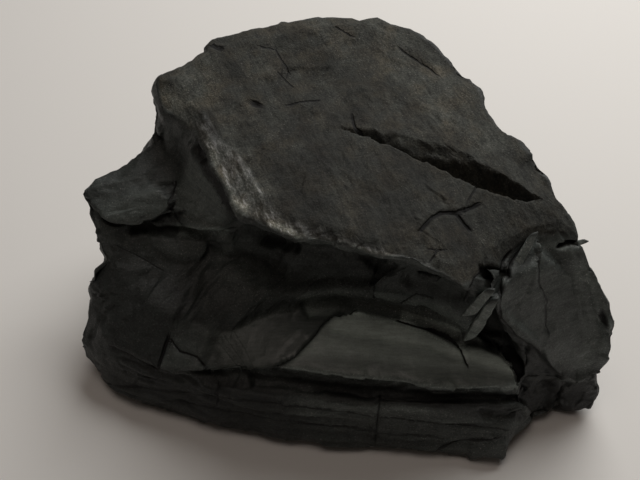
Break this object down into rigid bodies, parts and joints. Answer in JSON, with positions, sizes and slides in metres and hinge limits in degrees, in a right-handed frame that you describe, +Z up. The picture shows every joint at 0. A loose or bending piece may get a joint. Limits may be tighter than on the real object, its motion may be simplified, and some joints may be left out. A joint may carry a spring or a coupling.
{
  "type": "lump charcoal",
  "caption": "Broken lump of charcoal with a rough top slab over a deep hollow, a smooth ledge, and a layered block along its foot.",
  "frame": {"origin": "middle of the bounding box, at the height of the flat underside", "axes": "+X to the lump's right along its length, -Y to its front, +Z up from the surface it lies on"},
  "size_m": [0.087, 0.0584, 0.046],
  "materials": {
    "charcoal": "dry dull black-grey char with a faint satin glint on fresh breaks"
  },
  "bodies": {
    "root": {"charcoal_lump": "charcoal"}
  },
  "joints": []
}
